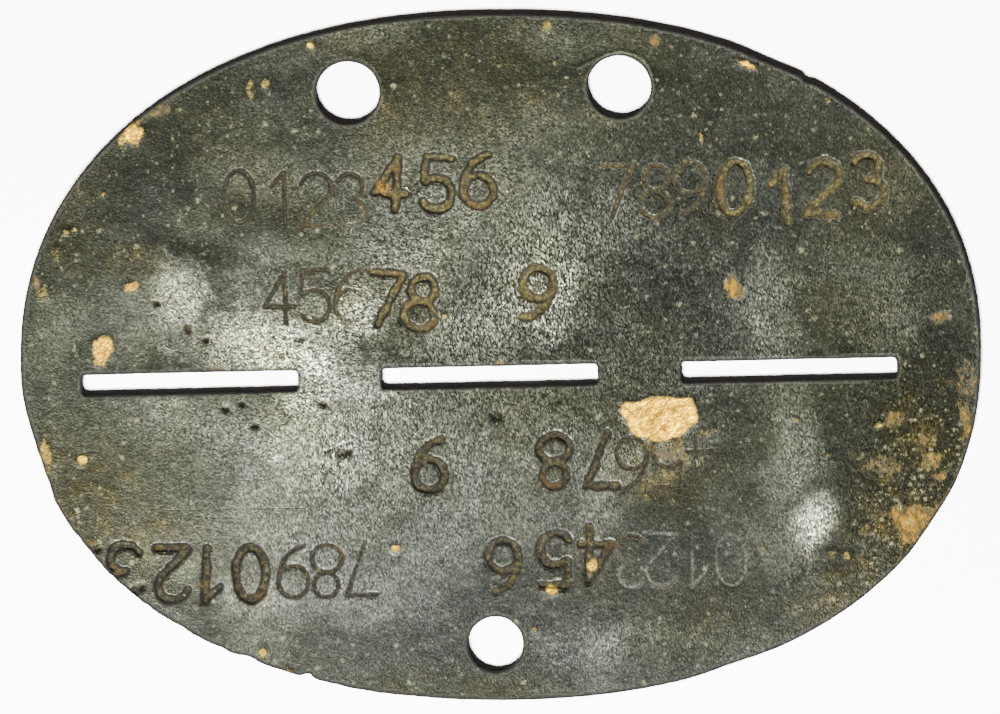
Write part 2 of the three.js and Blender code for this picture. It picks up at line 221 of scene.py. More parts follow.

# Where the worn patina shows bright satin metal with a painted sheen, and where soil and painted shade
# darken it
WORN_AND_SHEEN = ovals(
    (264, 349, 12, 4.6, 0.8), (332, 394, 8, 6.6, 0.58), (318, 450, 9, 8, 0.48),
    (178, 292, 3.8, 5, 0.7, 15), (150, 320, 9, 6, 0.24), (272, 520, 7, 8.5, 0.3),
    (220, 440, 12, 9, 0.06), (130, 470, 12, 14, 0.06), (205, 580, 10, 8, 0.12), (400, 590, 16, 8, 0.1),
    (280, 630, 10, 6, 0.12, -20), (430, 460, 14, 9, 0.24), (480, 510, 14, 11, 0.14),
    (265, 605, 6, 6, 0.3), (332, 518, 6, 7, 0.24), (356, 598, 8, 6, 0.24), (240, 272, 4, 2.6, 0.24),
    (512, 238, 9, 13, 0.32), (440, 180, 16, 10, 0.22), (562, 295, 2.2, 6.5, 0.34, -20),
    (545, 330, 3, 3, 0.45), (460, 330, 9, 5, 0.18), (475, 415, 11, 4.6, 0.2),
    (812, 522, 3, 4, 0.76, -20), (802, 500, 2.2, 4.4, 0.12, -15), (795, 450, 3.6, 8, 0.3, -10),
    (768, 300, 4.2, 8.5, 0.28), (815, 610, 4, 6, 0.15), (640, 650, 6, 5, 0.12), (600, 530, 3, 6, 0.15),
    (555, 655, 3, 3, 0.15), (230, 590, 1.6, 3.6, 0.35), (60, 330, 3, 8, 0.15), (845, 165, 5, 4, 0.05),
    (640, 45, 18, 3, 0.12, -10), (760, 150, 16, 6, 0.05), (275, 265, 6, 4, 0.2), (330, 290, 7, 5, 0.12),
    (650, 435, 8, 5, 0.14), (870, 290, 8, 8, 0.13), (400, 240, 8, 4.6, 0.2), (690, 420, 5, 3, 0.12),
    (600, 490, 4, 4, 0.1), (320, 40, 12, 3.4, 0.2, 15), (558, 38, 5, 3, 0.26), (362, 30, 6, 3, 0.36),
    (545, 142, 9, 5, 0.22), (818, 120, 8, 5, 0.1, -25), (275, 180, 8, 4, 0.2), (434, 266, 8, 4.4, 0.36),
    (300, 310, 8, 4, 0.26), (316, 364, 4, 3.4, 0.78), (842, 404, 4, 3.6, 0.12), (794, 556, 4, 3, 0.22),
    (430, 266, 7, 5, 0.32), (605, 218, 5, 5, 0.2), (360, 314, 5, 4, 0.6), (168, 316, 4, 3, 0.42),
    (74, 318, 3.4, 4, 0.25), (892, 314, 5, 4, 0.2), (190, 416, 13, 5, 0.24), (632, 470, 8, 3.4, 0.24),
    (604, 506, 4, 4.4, 0.25), (268, 462, 5, 4, 0.2), (772, 554, 7, 4, 0.15), (266, 648, 5, 3.4, 0.26),
    (603, 650, 5, 4, 0.22), (432, 554, 9, 5, 0.18), (798, 92, 4.6, 3, 0.2, -25), (893, 190, 4, 5, 0.14),
    (418, 285, 4, 3.4, 0.34), (706, 240, 5, 4, 0.12),
)
SOILED_AND_SHADED = ovals(
    (150, 200, 8, 6.5, 0.6, 20), (185, 225, 4, 2.4, 0.8, -20), (170, 140, 4, 4, 0.6),
    (70, 280, 6, 8, 0.6), (200, 248, 8, 2.8, 0.9, -20), (300, 285, 6, 2.4, 0.15), (400, 305, 4, 4, 0.4),
    (432, 470, 3.6, 4.6, 0.5), (440, 50, 8, 5, 0.1), (790, 120, 10, 6, 0.1, -20),
    (700, 280, 5, 14, 0.4), (720, 410, 5, 4, 0.4), (857, 497, 3, 4, 0.6, -15),
    (845, 542, 2.4, 4, 1, -15), (892, 408, 11, 8, 1), (940, 360, 4, 8, 0.5), (725, 570, 9, 7, 0.35),
    (665, 530, 8, 7, 0.6), (625, 305, 5, 9, 0.35), (245, 222, 8, 4, 0.6, -10), (190, 366, 8, 2.6, 0.7),
    (800, 612, 8, 4, 0.5, 20), (700, 140, 8, 4, 0.2), (765, 225, 6, 3, 0.4), (490, 670, 4.4, 3, 0.6),
    (550, 600, 5, 4, 0.35), (110, 560, 4, 3, 0.5), (380, 668, 34, 8, 0.85),
    (320, 655, 12, 4.6, 0.8, -10), (490, 608, 8, 5, 0.9), (655, 665, 9, 5, 0.8), (672, 478, 6, 4, 0.4),
    (470, 285, 4, 3.6, 0.3), (90, 400, 10, 22, 0.5), (160, 400, 8, 8, 0.3), (560, 600, 22, 8, 0.55),
    (345, 490, 6, 6, 0.3), (80, 505, 8, 8, 0.7), (250, 345, 6, 3, 0.3), (190, 395, 9, 2.6, 0.4),
    (260, 400, 9, 2.6, 0.3), (500, 410, 9, 4, 0.4), (470, 640, 8, 5, 0.3), (760, 610, 14, 5, 0.4, 20),
    (170, 608, 8, 5, 1, -30), (240, 74, 9, 4, 0.35), (600, 410, 6, 4, 0.3), (554, 508, 5, 5, 0.3),
    (746, 506, 5, 5, 0.3), (200, 366, 9, 3.6, 1), (385, 76, 8, 5, 0.25), (314, 124, 6, 5, 0.2),
    (122, 172, 6, 5, 0.3), (165, 215, 5, 4, 0.95), (314, 220, 6, 4, 0.3), (748, 268, 5, 5, 0.3),
    (938, 268, 4, 6, 0.3), (28, 316, 4, 5, 0.3), (655, 312, 5, 6, 0.5), (361, 358, 4.4, 3.6, 0.7),
    (352, 412, 5, 4, 0.3), (650, 360, 6, 4, 0.35), (554, 350, 6, 3, 0.25), (110, 470, 16, 8, 0.4),
    (110, 512, 11, 6, 0.5), (722, 458, 7, 5, 0.3), (794, 508, 3.4, 3, 0.3), (672, 552, 9, 6, 0.8),
    (842, 556, 3, 4, 0.4), (510, 602, 7, 5, 1), (698, 602, 8, 5, 0.6), (240, 60, 18, 5, 0.3, 20),
    (908, 448, 9, 13, 1),
)

# Dents, which tip the satin surface to and from the light
DENTS = ovals(
    (190, 240, 7, 3.6, 0.09, -20), (300, 262, 8, 3, 0.05, -8), (812, 540, 3.2, 5.2, 0.11, -25),
    (548, 300, 3.6, 6, 0.06, -20), (700, 300, 6, 12, 0.04), (255, 560, 5, 6, 0.04),
    (430, 470, 4, 4, 0.03), (500, 640, 10, 6, 0.03), (110, 170, 6, 5, 0.04, 30),
)
PITS = ovals(
    (157, 303, 0.5, 0.4, 1), (206, 340, 0.55, 0.5, 1), (300, 340, 0.6, 0.5, 1), (225, 409, 0.6, 0.5, 1),
    (242, 404, 0.4, 0.5, 0.9), (255, 426, 0.5, 0.4, 1), (323, 404, 0.5, 0.5, 1),
    (348, 452, 0.5, 0.5, 0.9), (188, 330, 0.5, 0.6, 0.9), (497, 416, 0.9, 0.8, 0.6),
    (341, 452, 0.4, 0.6, 0.8), (96, 549, 0.6, 0.5, 1), (138, 588, 1, 0.7, 0.8, 30),
    (657, 416, 0.35, 0.3, 1), (649, 411, 0.25, 0.25, 0.9),
)

# Scratches and burrs, as lines through pixels of the photograph. A burr has less than no depth
Scratch = namedtuple("Scratch", "width depth bright pixels")
SCRATCHES = [
    Scratch(0.05, 0.003, False, [(163, 510), (230, 509), (304, 508)]),
    Scratch(0.06, 0.004, False, [(193, 515), (214, 518), (236, 517)]),
    Scratch(0.16, 0.03, False, [(325, 452), (340, 446), (352, 441)]),
    Scratch(0.2, -0.02, True, [(578, 68), (590, 62), (606, 55), (623, 52), (636, 55)]),
    Scratch(0.2, -0.02, True, [(641, 57), (649, 66), (652, 80)]),
    Scratch(0.16, 0.01, True, [(648, 57), (652, 48)]),
]

HALF = np.array([LENGTH / 2, WIDTH / 2])


def fade(value, low, high):
    """1 below low, 0 above high and smooth between."""
    t = np.clip((value - low) / (high - low), 0, 1)
    return 1 - t * t * (3 - 2 * t)


def turned(points, angle):
    """Points turned about the origin, anticlockwise."""
    cos, sin = math.cos(angle), math.sin(angle)
    return points @ np.array([[cos, sin], [-sin, cos]])


def placed(points):
    """From the punched pattern's own axes to the disc's."""
    return turned(points, PUNCH_TURN) + PUNCH_OFFSET


def at_pixel(px, py):
    """The place on the disc that a pixel of the photograph shows."""
    across = (px - PHOTO_CENTRE[0]) * MM_PER_PIXEL
    up = (PHOTO_CENTRE[1] - py) * MM_PER_PIXEL
    return turned(np.array([across, up]), -PHOTO_ROLL)


# Unevenness


class Swell:
    """Smooth random relief over the plane, from -1 to 1."""

    CELLS = 512

    def __init__(self, seed):
        self.values = np.random.default_rng(seed).uniform(-1, 1, (self.CELLS, self.CELLS))

    def __call__(self, points, length):
        cell = np.floor(points / length).astype(int)
        part = points / length - cell
        part = part ** 3 * (part * (part * 6 - 15) + 10)
        i, j = cell[:, 0] % self.CELLS, cell[:, 1] % self.CELLS
        k, m = (i + 1) % self.CELLS, (j + 1) % self.CELLS
        low = self.values[i, j] * (1 - part[:, 0]) + self.values[k, j] * part[:, 0]
        high = self.values[i, m] * (1 - part[:, 0]) + self.values[k, m] * part[:, 0]
        return low * (1 - part[:, 1]) + high * part[:, 1]


broad, medium, small = Swell(11), Swell(12), Swell(13)

# Each kind of unevenness is a sum of swells: rows of an amount, a swell and its length in millimetres
OUTLINE_WAVES = [(0.02, medium, 1.1), (0.02, small, 0.45)]
BATTERED_WAVES = [(0.07, broad, 2.2), (0.06, small, 0.6)]
HOLE_WAVES = [(0.015, small, 0.5), (0.012, medium, 1.3)]
WALL_WAVES = [(0.02, small, 0.4)]
SHEET_WAVES = [(0.018, broad, 13), (0.008, medium, 5.5), (0.004, small, 2.1)]
FACE_WAVES = [(0.003, small, 0.7)]
CRUST_WAVES = [(0.35, small, 0.5)]
GROOVE_WAVES = [(0.2, small, 0.8), (0.22, medium, 0.4)]
MARK_WAVES = [(0.25, medium, 0.9), (0.2, small, 0.4)]
RUB_WAVES = [(1, medium, 3), (0.5, small, 1.2)]
STREAK_WAVES = [(2.5, broad, 6)]
PATCH_WAVE = 0.6
PATCH_WOBBLE = 0.2


def waves(points, rows, level=0):
    """The sum of a table of waves at each point, about a level."""
    return sum((amount * swell(points, length) for amount, swell, length in rows), level)


# Outline, holes and slots

# The rim is battered on the lower left, about this bearing and fading over this reach, in degrees
BATTERED_BEARING = 228
BATTERED_REACH = (18, 45)
BATTERED_DEPTH = 0.05


def rim_wear(bearings):
    """How deep the rim is worn at each bearing."""
    deepest = np.zeros_like(bearings)
    for wear in RIM_WEAR:
        away = np.abs((bearings - wear.bearing + 540) % 360 - 180)
        share = np.where(away < wear.spread / 2, (1 + np.cos(2 * np.pi * away / wear.spread)) / 2, 0)
        deepest = np.maximum(deepest, share * wear.depth * EDGE_WEAR)
    return deepest


def evenly(loop, step):
    """The same closed loop, with its points evenly spaced."""
    closed = np.vstack([loop, loop[:1]])
    lengths = np.hypot(*np.diff(closed, axis=0).T)
    travelled = np.concatenate([[0], np.cumsum(lengths)])
    count = round(travelled[-1] / step)
    stops = np.arange(count) * travelled[-1] / count
    return np.column_stack([np.interp(stops, travelled, closed[:, axis]) for axis in (0, 1)])


def outline():
    """The disc's outline, anticlockwise, with its wear and its battered side."""
    bearings = np.arange(0, 360, 0.1)
    cos, sin = np.cos(np.radians(bearings)), np.sin(np.radians(bearings))
    x = np.sign(cos) * np.abs(cos) ** (2 / OUTLINE_POWER) * HALF[0]
    y = np.sign(sin) * np.abs(sin) ** (2 / OUTLINE_POWER) * HALF[1]
    oval = np.column_stack([x, y])
    radius = np.hypot(x, y)
    rough = sum(np.abs(waves(oval, [row])) for row in OUTLINE_WAVES)
    battered = fade(np.abs(bearings - BATTERED_BEARING), *BATTERED_REACH)
    battered = battered * waves(oval, BATTERED_WAVES, BATTERED_DEPTH)
    worn = oval * (1 - (rim_wear(bearings) + rough + np.maximum(battered, 0)) / radius)[:, None]
    return evenly(worn, RIM_STEP)


Hole = namedtuple("Hole", "centre half corner")


def holes():
    """Each hole and slot as its centre in the punched pattern, half its size and its corner radius."""
    cord_row = HALF[1] - CORD_HOLE_MARGIN - PUNCH_OFFSET[1]
    tie_row = -(HALF[1] - TIE_HOLE_MARGIN) - PUNCH_OFFSET[1]
    cord, tie = CORD_HOLE_DIAMETER / 2, TIE_HOLE_DIAMETER / 2
    found = [Hole((side * CORD_HOLE_SPACING / 2, cord_row), (cord, cord), cord) for side in (-1, 1)]
    found.append(Hole((0, tie_row), (tie, tie), tie))
    length = (LENGTH - (SLOT_COUNT - 1) * SLOT_WEB - 2 * SLOT_END_WEB) / SLOT_COUNT
    for index in range(SLOT_COUNT):
        along = (index - (SLOT_COUNT - 1) / 2) * (length + SLOT_WEB)
        found.append(Hole((along, 0), (length / 2, SLOT_WIDTH / 2), SLOT_CORNER))
    return found


def into_sheet(loop):
    """At each point of a loop, the direction into the sheet, which lies on its left."""
    along = np.roll(loop, -1, axis=0) - np.roll(loop, 1, axis=0)
    along /= np.hypot(*along.T)[:, None]
    return np.column_stack([-along[:, 1], along[:, 0]])


def hole_loop(hole):
    """A hole's edge, clockwise, with the little unevenness that the punch left."""
    angles = np.radians(np.arange(360, 0, -3))
    round_part = np.column_stack([np.cos(angles), np.sin(angles)])
    straight = np.sign(np.round(round_part, 9)) * (np.array(hole.half) - hole.corner)
    loop = evenly(placed(straight + round_part * hole.corner + hole.centre), RIM_STEP)
    return loop + into_sheet(loop) * waves(loop, HOLE_WAVES)[:, None]


OUTLINE = outline()
HOLES = holes()


def outline_distance(points):
    """How far each point lies inside the outline, along its bearing."""
    bearings, known = np.arctan2(points[:, 1], points[:, 0]), np.arctan2(OUTLINE[:, 1], OUTLINE[:, 0])
    radius = np.interp(bearings, known, np.hypot(*OUTLINE.T), period=2 * np.pi)
    return radius - np.hypot(*points.T)


def hole_distance(points):
    """How far each point lies from the nearest hole's edge, into the sheet."""
    own = turned(points - PUNCH_OFFSET, -PUNCH_TURN)
    nearest = np.full(len(points), np.inf)
    for hole in HOLES:
        beyond = np.abs(own - hole.centre) - np.array(hole.half) + hole.corner
        outside = np.hypot(*np.maximum(beyond, 0).T)
        inside = np.minimum(beyond.max(axis=1), 0)
        nearest = np.minimum(nearest, outside + inside - hole.corner)
    return nearest


# Figures, drawn one unit high about the origin. B is half their breadth

B = 0.29
CURVE_STEP = 12


def arc(cx, cy, rx, ry, start, end):
    """Points along part of an ellipse, from one angle to another in degrees."""
    count = max(4, round(abs(end - start) / CURVE_STEP))
    angles = np.radians(np.linspace(start, end, count + 1))
    return [(cx + rx * math.cos(a), cy + ry * math.sin(a)) for a in angles]


STROKES = [
    [arc(0, 0, B, 0.5, 0, 360)],
    [[(-0.7 * B, 0.24), (0.15 * B, 0.5)], [(0.15 * B, 0.5), (0.15 * B, -0.5)]],
    [[*arc(0, 0.23, B, 0.27, 165, -35), (-B, -0.5)], [(-B, -0.5), (B, -0.5)]],
    [arc(0, 0.26, 0.85 * B, 0.24, 150, -90), arc(0, -0.24, B, 0.26, 90, -150)],
    [[(0.4 * B, -0.5), (0.4 * B, 0.5)], [(0.4 * B, 0.5), (-B, -0.18)], [(-B, -0.18), (B, -0.18)]],
    [[(0.85 * B, 0.5), (-0.75 * B, 0.5), (-0.85 * B, 0.04)], arc(0, -0.19, B, 0.31, 140, -145)],
    [arc(0, -0.2, B, 0.3, 0, 360), arc(B, -0.2, 2 * B, 0.7, 180, 100)],
    [[(-B, 0.5), (B, 0.5)], [(B, 0.5), (-0.35 * B, -0.5)]],
    [arc(0, 0.26, 0.8 * B, 0.24, 0, 360), arc(0, -0.24, B, 0.26, 0, 360)],
    [arc(0, 0.2, B, 0.3, 0, 360), arc(-B, 0.2, 2 * B, 0.7, 0, -80)],
]

# How full of dirt the grooves of the upper and of the lower figures are
UPPER_FILL = 1.0
LOWER_FILL = 0.4

# How far a punch may tip, as the change of its force for each millimetre, and what its force may be
TIP = 0.1
LEAST_FORCE, MOST_FORCE = 0.1, 1.05
FORCE_POWER = 2.0

# A groove's wall and its raised lip, as shares of half the stroke
WALL_END = 1.1
LIP_PLACE = 1.45
LIP_WIDTH = 0.4

Blow = namedtuple("Blow", "lines centre punch strength tip fill")


def blows():
    """Every stamped figure on the disc, with its lines, its place and how hard the punch landed."""
    random = np.random.default_rng(5)
    found = []
    for index, row in enumerate(FIGURES):
        upper = (np.array([row.along, row.across]) * HALF, row.lean, row.upper, UPPER_FILL)
        strayed = -np.array([row.along + row.shift, row.across + row.drop]) * HALF
        lower = (strayed, 180 + row.lean + row.tilt, row.lower, LOWER_FILL)
        for place, turn, strength, fill in (upper, lower):
            fill = min(fill, PUNCHES[row.punch].fullest)
            centre = place + PUNCH_OFFSET
            lines = []
            for stroke in STROKES[index % len(STROKES)]:
                drawn = np.array(stroke) * FIGURE_HEIGHT
                lines.append(turned(drawn, math.radians(turn)) + centre)
            tip = random.uniform(-TIP, TIP, 2)
            found.append(Blow(lines, centre, PUNCHES[row.punch], strength, tip, fill))
    return found


def line_distance(points, line):
    """How far each point lies from a line through several points."""
    nearest = np.full(len(points), np.inf)
    for start, end in zip(line[:-1], line[1:]):
        span = end - start
        share = np.clip((points - start) @ span / (span @ span), 0, 1)
        nearest = np.minimum(nearest, np.hypot(*(points - start - share[:, None] * span).T))
    return nearest


BLOWS = blows()
SCRATCH_LINES = [np.array([at_pixel(*pixel) for pixel in scratch.pixels]) for scratch in SCRATCHES]

# Stamping is worked out within REACH of a figure's centre, and ways over FAR aren't told apart
REACH = FIGURE_HEIGHT / 2 + 1.2
FAR = 1.0

Stamping = namedtuple("Stamping", "depth lips groove force fill")


def stamping(points):
    """The grooves' depth and lips, and of the nearest its way, how hard it is struck and how full."""
    depth, lips, force, full = (np.zeros(len(points)) for _ in range(4))
    near = np.full(len(points), FAR)
    for blow in BLOWS:
        close = np.flatnonzero(np.abs(points - blow.centre).max(axis=1) < REACH)
        own = points[close]
        away = np.min([line_distance(own, line) for line in blow.lines], axis=0)
        half = blow.punch.stroke / 2
        away = away + half * waves(own, GROOVE_WAVES)
        struck = np.clip(blow.strength + (own - blow.centre) @ blow.tip, LEAST_FORCE, MOST_FORCE)
        groove = fade(away, half * blow.punch.floor, half * WALL_END) * struck ** FORCE_POWER
        lip = np.exp(-(((away - half * LIP_PLACE) / (half * LIP_WIDTH)) ** 2)) * struck
        depth[close] = np.maximum(depth[close], groove * blow.punch.depth)
        lips[close] = np.maximum(lips[close], lip * blow.punch.lip)
        nearer = away - half < near[close]
        for found, value in ((force, struck), (full, blow.fill), (near, away - half)):
            found[close] = np.where(nearer, value, found[close])
    return Stamping(depth, lips, near, force, full)


def scratching(points):
    """The scratches' depth, and how far each point is from a dark one and from a bright one."""
    depth = np.zeros(len(points))
    dark, bright = np.full(len(points), FAR), np.full(len(points), FAR)
    for scratch, line in zip(SCRATCHES, SCRATCH_LINES):
        away = line_distance(points, line)
        depth += fade(away, 0, scratch.width) * scratch.depth
        nearest = bright if scratch.bright else dark
        np.minimum(nearest, away - scratch.width / 2, out=nearest)
    return depth, dark, bright


# Marks


def marked(points, rows, softness):
    """The strongest of a table of oval marks at each point, with ragged borders."""
    ragged = waves(points, MARK_WAVES, 1)
    strongest = np.zeros(len(points))
    for row in rows:
        own = turned(points - at_pixel(row.px, row.py), -math.radians(row.turn))
        reach = np.hypot(own[:, 0] * 2 / row.wide, own[:, 1] * 2 / row.tall) * ragged
        strongest = np.maximum(strongest, row.strength * fade(reach, 1 - softness, 1 + softness))
    return strongest


def patched(points, patches):
    """The strongest of several patches at each point. Their corners go round clockwise."""
    wobble = np.column_stack([small(points, PATCH_WAVE), medium(points, PATCH_WAVE)])
    wobbled = points + PATCH_WOBBLE * wobble
    strongest = np.zeros(len(points))
    for patch in patches:
        corners = np.array([at_pixel(*pixel) for pixel in patch.pixels])
        inside = np.full(len(points), np.inf)
        for start, end in zip(corners, np.roll(corners, -1, axis=0)):
            span = (end - start) / np.hypot(*(end - start))
            inside = np.minimum(inside, (wobbled - start) @ np.array([span[1], -span[0]]))
        covered = 1 - fade(inside, -patch.soft / 2, patch.soft)
        strongest = np.maximum(strongest, patch.strength * covered)
    return strongest


def dented(points):
    """How deep the dents press the sheet in."""
    depth = np.zeros(len(points))
    for row in DENTS:
        own = turned(points - at_pixel(row.px, row.py), -math.radians(row.turn))
        reach = (own[:, 0] * 2 / row.wide) ** 2 + (own[:, 1] * 2 / row.tall) ** 2
        depth += row.strength * np.exp(-reach)
    return depth


# Levels of the two faces, in millimetres above the lowest point of the back

FACE_LEVEL = 0.93
BACK_LEVEL = 0.03
BACK_WAVINESS = 0.5
BACK_TRACE = 0.06

# A crust's height, and the share of it that its waves are about
CRUST_HEIGHT = 0.05
CRUST_SHARE = 0.75
PIT_DEPTH = 0.05

# The burr that the punch left round each hole
BURR_INSET = 0.3
BURR_WIDTH = 0.22
BURR_HEIGHT = 0.006

# How soft the border of each kind of mark is, as a share of the mark
SAND_SOFTNESS = 0.35
PIT_SOFTNESS = 0.5
WEAR_SOFTNESS = 0.6
STAIN_SOFTNESS = 0.7
ZONE_SOFTNESS = 0.8

# How far the sheet is worn with a painted sheen all over, what soil and painted shade take off that, and
# what its waves change
SHEET_WEAR = 0.18
SOILING_AND_SHADE = 0.35
RUBBING = 0.12
RUB_REACH = 1.2

# The borders between the grain that runs across and the upright grain on the right
STREAK_SLANT = 0.8
STREAK_BORDER = (-12.0, -4.0)

# What lies on the back: where its waves pass from low to high, it grows from least by range
Film = namedtuple("Film", "waves low high range least")
BACK_FILMS = {
    "sand": Film([(1, small, 2.4), (0.5, medium, 0.8)], 0.95, 1.3, 0.8, 0),
    "rust": Film([(1, medium, 7), (0.4, small, 1.6)], 0.35, 0.9, 0.45, 0),
    "olive": Film([(1, broad, 9)], 0, 0.8, 0.5, 0),
    "wear": Film([(1, broad, 6), (0.6, small, 1.7)], -1.2, 1.2, 0.26, 0.1),
}

# The rim mark is painted shade on the rims, and the wear mark is worn metal with a painted sheen
MARK_NAMES = "groove force fill sand rust olive slate wear grit streak pitted scratch scrape rim".split()


def wear_and_sheen(points):
    """How far the face's patina is worn through, with its painted sheen and painted shade."""
    worn, soiled_and_shaded_share = (marked(points, rows, WEAR_SOFTNESS) for rows in (WORN_AND_SHEEN, SOILED_AND_SHADED))
    rubbed = 1 - fade(waves(points, RUB_WAVES), -RUB_REACH, RUB_REACH)
    return np.clip(SHEET_WEAR + worn - soiled_and_shaded_share * SOILING_AND_SHADE + (rubbed - 0.5) * RUBBING, 0, 1)


def face_level(points):
    """The height of the stamped face with what lies on it, and its marks."""
    stamped = stamping(points)
    scratched, scratch, scrape = scratching(points)
    sand = np.maximum(marked(points, SAND, SAND_SOFTNESS), patched(points, SAND_PATCHES))
    rust = np.maximum(marked(points, RUST, STAIN_SOFTNESS), patched(points, RUST_PATCHES))
    pits = marked(points, PITS, PIT_SOFTNESS)
    burr = np.exp(-(((hole_distance(points) - BURR_INSET) / BURR_WIDTH) ** 2))
    crust = sand * waves(points, CRUST_WAVES, CRUST_SHARE)
    level = FACE_LEVEL + waves(points, SHEET_WAVES) - dented(points)
    level += waves(points, FACE_WAVES)
    level += crust * CRUST_HEIGHT + stamped.lips + BURR_HEIGHT * burr
    level -= stamped.depth + scratched + pits * PIT_DEPTH
    marks = dict(groove=stamped.groove, force=stamped.force, fill=stamped.fill, sand=sand, rust=rust)
    marks.update(pitted=pits, scratch=scratch, scrape=scrape, wear=wear_and_sheen(points))
    marks["olive"] = marked(points, OLIVE, STAIN_SOFTNESS)
    marks["slate"] = marked(points, SLATE, ZONE_SOFTNESS)
    return np.minimum(level, THICKNESS), marks


def back_level(points):
    """The height of the plain back, where hard blows show through a little, and its marks."""
    level = BACK_LEVEL + BACK_WAVINESS * waves(points, SHEET_WAVES) - BACK_TRACE * stamping(points).depth
    blank = np.zeros(len(points))
    marks = {name: blank for name in ("force", "fill", "pitted", "slate")}
    marks.update({name: blank + FAR for name in ("groove", "scratch", "scrape")})
    for name, film in BACK_FILMS.items():
        marks[name] = film.least + film.range * (1 - fade(waves(points, film.waves), film.low, film.high))
    return np.maximum(level, 0), marks


# The mesh

# The lattice is fine within FINE_REACH of a groove, and keeps RIM_GAP of a step away from a rim
FINE_REACH = 0.16
RIM_GAP = 0.3
SAME_POINT = 1e-6

# How fast the painted shade on a rim deepens below its face, under which share of its height it is
# rough, and what makes its rings differ
RIM_SHADE_DEEPENING = 60
ROUGH_BELOW = 0.9
RING_SHIFT = 3.1


def lattice(step, fine):
    """Points of a triangular lattice with this step, and of one twice as fine where fine says so."""
    half_step = step / 2
    rise = half_step * math.sqrt(0.75)
    rows = int(HALF[1] / rise) + 1
    columns = int(HALF[0] / half_step) + rows
    i, j = np.meshgrid(np.arange(-columns, columns + 1), np.arange(-rows, rows + 1), indexing="ij")
    i, j = i.ravel(), j.ravel()
    points = np.column_stack([half_step * (i + j / 2), rise * j])
    inside = np.abs(points[:, 0]) < HALF[0]
    i, j, points = i[inside], j[inside], points[inside]
    coarse = (i % 2 == 0) & (j % 2 == 0)
    return points[coarse | fine(points)]


def rim_clear(points, outer_inset, hole_inset, margin):
    """Which points lie further into the sheet than the rims and a margin."""
    from_outline = outline_distance(points) > outer_inset + margin
    return from_outline & (hole_distance(points) > hole_inset + margin)


def triangulated(loops, inner, outer_inset, hole_inset):
    """Triangles over the sheet between closed loops, through the inner points. Loops come first."""
    points = np.vstack([*loops, inner])
    edges, start = [], 0
    for loop in loops:
        count = len(loop)
        edges += [(start + k, start + (k + 1) % count) for k in range(count)]
        start += count
    made = geometry.delaunay_2d_cdt([Vector(p) for p in points], edges, [], 0, SAME_POINT)
    if len(made[0]) != len(points):
        raise ValueError("two points of a face fell together")
    triangles = np.array(made[2])
    on_loops = (triangles < start).all(axis=1)
    middles = points[triangles].mean(axis=1)
    outside = on_loops & ~rim_clear(middles, outer_inset, hole_inset, 0)
    return points, triangles[~outside]


def fine_on_face(points):
    """Where the face's lattice is fine: in and beside grooves and scratches."""
    near = np.minimum(stamping(points).groove, np.minimum(*scratching(points)[1:]))
    return near < FINE_REACH


def fine_nowhere(points):
    """Nowhere, for the back."""
    return np.zeros(len(points), bool)


